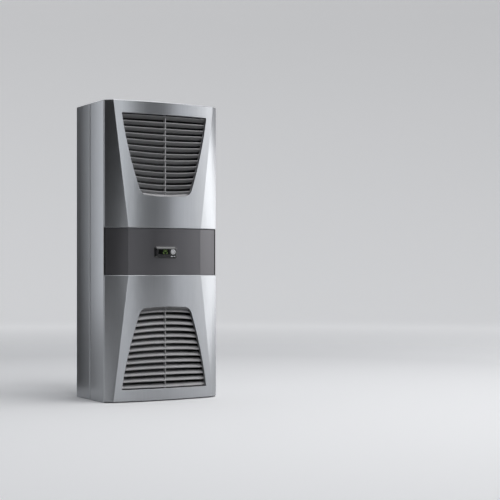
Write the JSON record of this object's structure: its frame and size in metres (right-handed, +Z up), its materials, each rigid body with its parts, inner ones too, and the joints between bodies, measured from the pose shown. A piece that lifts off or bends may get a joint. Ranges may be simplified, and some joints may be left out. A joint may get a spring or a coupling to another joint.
{
  "type": "enclosure cooling unit",
  "caption": "Tall wall-hung cooling unit for an electrical enclosure: steel case, faceted curved front, two tapered louvred grilles and a dark control band with a small display.",
  "frame": {"origin": "centre of the base, on the surface the unit stands on", "axes": "+X to the right seen from the front, -Y out of the louvred front, +Z up"},
  "size_m": [0.4, 0.2648, 0.95],
  "materials": {
    "front_steel": "satin",
    "case_steel": "satin",
    "zinc_sheet": "satin",
    "carrier_black": "matte",
    "guard_wire": "satin",
    "coil_fins": "satin",
    "zinc_insert": "satin",
    "louvre_grey": "satin",
    "band_grey": "satin",
    "black_plastic": "matte",
    "soft_seal": "matte",
    "bezel_grey": "satin",
    "display_window": "gloss",
    "key_grey": "satin"
  },
  "bodies": {
    "root": {"upper_front_panel": "front_steel", "lower_front_panel": "front_steel", "chassis_left_side": "case_steel", "chassis_right_side": "case_steel", "chassis_top": "case_steel", "chassis_base": "case_steel", "hood_left_side": "case_steel", "hood_right_side": "case_steel", "hood_top": "case_steel", "hood_base": "case_steel", "rear_wall": "zinc_sheet", "return_air_tray": "zinc_sheet", "supply_air_tray": "zinc_sheet", "front_carrier": "carrier_black", "fixing_inserts": "zinc_insert", "upper_louvre": "louvre_grey", "lower_louvre": "louvre_grey", "control_band": "band_grey", "upper_air_duct": "black_plastic", "lower_air_duct": "black_plastic", "controller_body": "black_plastic", "return_air_fan_frame": "black_plastic", "return_air_fan_rotor": "black_plastic", "drain_spout": "black_plastic", "return_air_guard": "guard_wire", "supply_air_coil": "coil_fins", "rear_seal": "soft_seal", "seam_seal": "soft_seal", "controller_bezel": "bezel_grey", "controller_window": "display_window", "controller_keypad": "key_grey", "controller_keys": "key_grey"}
  },
  "joints": []
}
